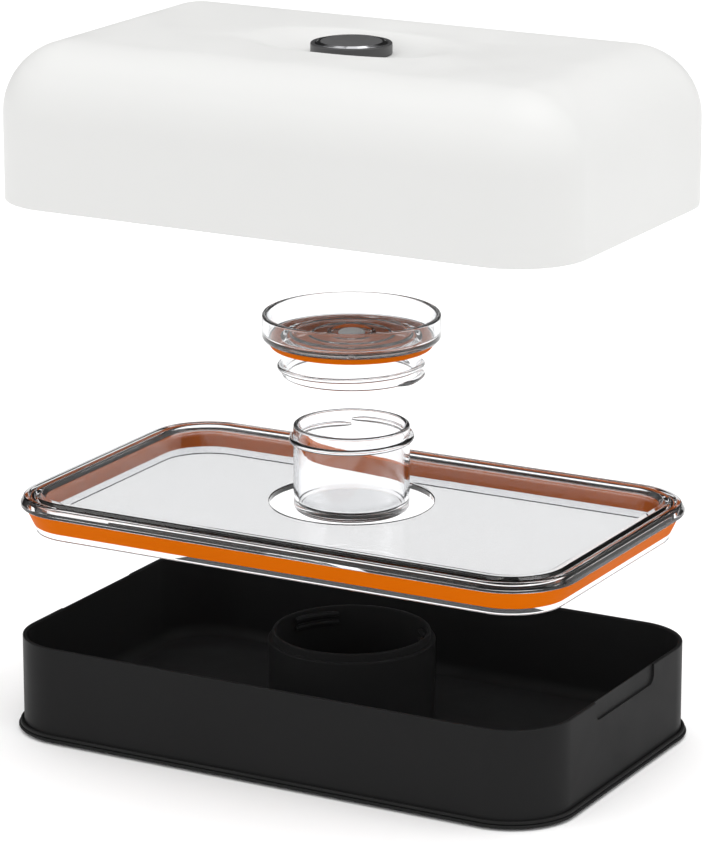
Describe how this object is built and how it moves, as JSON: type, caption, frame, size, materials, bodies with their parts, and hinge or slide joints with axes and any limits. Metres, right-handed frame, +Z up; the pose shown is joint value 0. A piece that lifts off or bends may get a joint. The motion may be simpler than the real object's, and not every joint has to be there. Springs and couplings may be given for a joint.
{
  "type": "vacuum food storage box",
  "caption": "Airtight food box shown spread out: dark tray with a threaded well, clear inner lid, small jar, screw cap with gasket, and a white cover with a pump button.",
  "frame": {"origin": "centre of the footprint, on the plane the feet stand on", "axes": "+X along the long side, +Y away from the front long side, +Z up along the stack's axis"},
  "size_m": [0.303, 0.1846, 0.3424],
  "materials": {
    "black_plastic": "satin",
    "black_rubber": "matt",
    "clear_plastic": "clear, polished",
    "orange_silicone": "satin silicone",
    "clear_silicone": "milky silicone",
    "white_plastic": "satin",
    "dark_plastic": "satin",
    "dark_metal": "dark polished plating",
    "grey_plastic": "moulded",
    "spring_steel": "drawn wire"
  },
  "bodies": {
    "base": {"base_tray": "black_plastic", "well_tube": "black_plastic", "base_seal_ring": "black_rubber", "base_foot_1": "black_rubber", "base_foot_2": "black_rubber", "base_foot_3": "black_rubber", "base_foot_4": "black_rubber"},
    "lid": {"inner_lid": "clear_plastic", "lid_gasket": "orange_silicone"},
    "jar": {"jar": "clear_plastic"},
    "cap_seal": {"cap_gasket": "orange_silicone"},
    "cap": {"cap_body": "clear_plastic", "cap_membrane": "orange_silicone", "cap_valve": "clear_silicone"},
    "cover": {"cover_shell": "white_plastic", "knob_bezel": "dark_plastic", "bezel_washer": "black_rubber", "bezel_nut": "dark_plastic", "pump_housing": "grey_plastic", "valve_flap": "clear_silicone", "nozzle_seal": "black_rubber"},
    "button": {"button_face": "dark_plastic", "button_rim": "dark_metal", "button_carrier": "grey_plastic", "piston": "grey_plastic", "piston_seal": "black_rubber", "return_spring": "spring_steel"}
  },
  "joints": [
    {"name": "lid_lift", "type": "slide", "parent": "base", "child": "lid", "axis": [0, 0, 1], "range_m": [-0.0637, 0]},
    {"name": "jar_lift", "type": "slide", "parent": "lid", "child": "jar", "axis": [0, 0, 1], "range_m": [-0.0453, 0]},
    {"name": "cap_lift", "type": "slide", "parent": "jar", "child": "cap_seal", "axis": [0, 0, 1], "range_m": [-0.0342, 0]},
    {"name": "cap_turn", "type": "hinge", "parent": "cap_seal", "child": "cap", "pos_m": [0, 0, 0.19], "axis": [0, 0, 1], "range_deg": [-45, 0]},
    {"name": "cover_lift", "type": "slide", "parent": "cap_seal", "child": "cover", "axis": [0, 0, 1], "range_m": [-0.1176, 0]},
    {"name": "button_press", "type": "slide", "parent": "cover", "child": "button", "axis": [0, 0, 1], "range_m": [-0.0022, 0], "stiffness_N_per_m": 900, "springref_m": 0.002, "deforming": ["return_spring"]}
  ]
}
